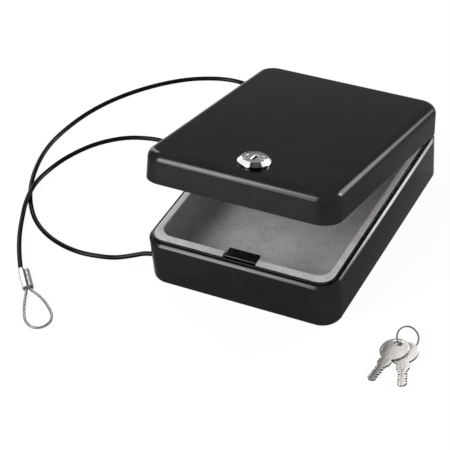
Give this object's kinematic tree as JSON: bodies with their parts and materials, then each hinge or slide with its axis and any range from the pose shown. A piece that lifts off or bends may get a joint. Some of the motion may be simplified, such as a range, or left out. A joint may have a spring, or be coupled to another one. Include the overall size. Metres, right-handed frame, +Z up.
{
  "type": "portable car safe",
  "caption": "Small steel lock box with a foam lining, a key lock in its hinged lid, a tether cable and keys.",
  "frame": {"origin": "centre of the base's underside", "axes": "+Z up, -Y towards the side of the lock, +X to the right seen from there"},
  "size_m": [0.4165, 0.3691, 0.1241],
  "materials": {
    "black_paint": "fine satin powder coat",
    "black_bracket": "smooth black e-coat",
    "grey_foam": "fine-celled soft foam",
    "chrome": "polished plate",
    "nickel_plate": "nickel plate, lightly tumbled",
    "zinc_steel": "clear zinc plate",
    "wire_rope": "bare twisted steel wire",
    "black_plastic": "moulded nylon",
    "black_vinyl": "smooth vinyl sleeve",
    "aluminium": "soft swaged aluminium"
  },
  "bodies": {
    "base": {"base_shell": "black_paint", "base_liner": "grey_foam", "catch_bracket": "black_bracket", "hinge_base_leaf": "zinc_steel", "hinge_pin": "zinc_steel", "hinge_rivet_base_1": "black_paint", "hinge_rivet_base_2": "black_paint", "hinge_rivet_base_3": "black_paint", "cable_bush": "black_plastic", "cable_stop": "aluminium", "cable": "black_vinyl", "crimp_sleeve": "aluminium", "wire_loop": "wire_rope"},
    "lid": {"lid_shell": "black_paint", "lid_liner": "grey_foam", "hinge_lid_leaf": "zinc_steel", "hinge_rivet_lid_1": "black_paint", "hinge_rivet_lid_2": "black_paint", "hinge_rivet_lid_3": "black_paint", "lock_bezel": "chrome", "lock_body": "chrome", "lock_washer": "zinc_steel", "lock_nut": "zinc_steel"},
    "lock_turn": {"lock_plug": "nickel_plate", "lock_cam": "zinc_steel", "cam_washer": "zinc_steel", "cam_screw": "zinc_steel"},
    "key_set": {"key_ring": "nickel_plate"},
    "upper_key": {"key_1": "nickel_plate"},
    "lower_key": {"key_2": "nickel_plate"}
  },
  "joints": [
    {"name": "lid_hinge", "type": "hinge", "parent": "base", "child": "lid", "pos_m": [0, 0.1128, 0.04205], "axis": [-1, 0, 0], "range_deg": [-14.5, 85.5]},
    {"name": "lock_plug_turn", "type": "hinge", "parent": "lid", "child": "lock_turn", "pos_m": [0.0029, -0.07177, 0.12258], "axis": [0, -0.2504, -0.9681], "range_deg": [0, 90]},
    {"name": "key_set_lift", "type": "slide", "parent": "base", "child": "key_set", "axis": [0, 0, 1], "range_m": [0, 0.1]},
    {"name": "upper_key_slide_round", "type": "hinge", "parent": "key_set", "child": "upper_key", "pos_m": [0.1417, -0.1033, 0.00668], "axis": [0.5098, -0.378, 0.7728], "range_deg": [-60, 0]},
    {"name": "lower_key_slide_round", "type": "hinge", "parent": "key_set", "child": "lower_key", "pos_m": [0.1417, -0.1033, 0.00668], "axis": [0.5098, -0.378, 0.7728], "range_deg": [0, 60]}
  ]
}
